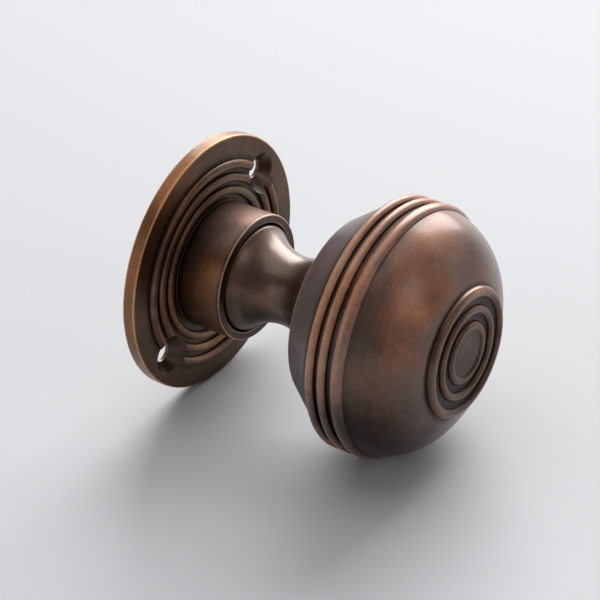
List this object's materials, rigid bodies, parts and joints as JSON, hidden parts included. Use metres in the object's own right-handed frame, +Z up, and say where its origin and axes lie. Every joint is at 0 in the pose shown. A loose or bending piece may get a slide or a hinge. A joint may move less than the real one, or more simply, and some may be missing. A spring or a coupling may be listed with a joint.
{
  "type": "door knob",
  "caption": "Reeded round door knob with a ringed face boss, on a round beaded rose with a collar; it turns either way against a return spring and takes a square spindle.",
  "frame": {"origin": "centre of the rose's back face, on the axis of the knob", "axes": "+Y into the door along the knob's axis, so the knob stands out along -Y; +Z up; +X to the right seen from the room"},
  "size_m": [0.06, 0.0701, 0.06],
  "materials": {
    "aged_bronze": "satin, dark patina with worn edges",
    "dark_bronze": "satin, dark purple-brown patina",
    "copper_bronze": "satin, brushed and mottled, copper showing on the crests",
    "steel": "zinc plated",
    "spring_steel": "oiled wire",
    "nylon": "natural nylon"
  },
  "bodies": {
    "rose": {"rose": "aged_bronze", "bearing_bush": "nylon", "thrust_washer": "nylon", "return_spring": "spring_steel", "stop_pin": "steel", "back_cover": "steel", "cover_screws": "steel"},
    "knob": {"neck": "aged_bronze", "spring_drum": "steel", "circlip": "spring_steel", "grub_screw": "spring_steel", "dowel_pins": "steel", "lock_washer": "steel", "core_nut": "steel", "knob_back": "dark_bronze", "knob_shell": "copper_bronze", "face_boss": "dark_bronze"}
  },
  "joints": [
    {"name": "knob_turn", "type": "hinge", "parent": "rose", "child": "knob", "pos_m": [0, 0, 0], "axis": [0, -1, 0], "range_deg": [-60, 60], "stiffness_Nm_per_rad": 0.4, "deforming": ["return_spring"]}
  ]
}
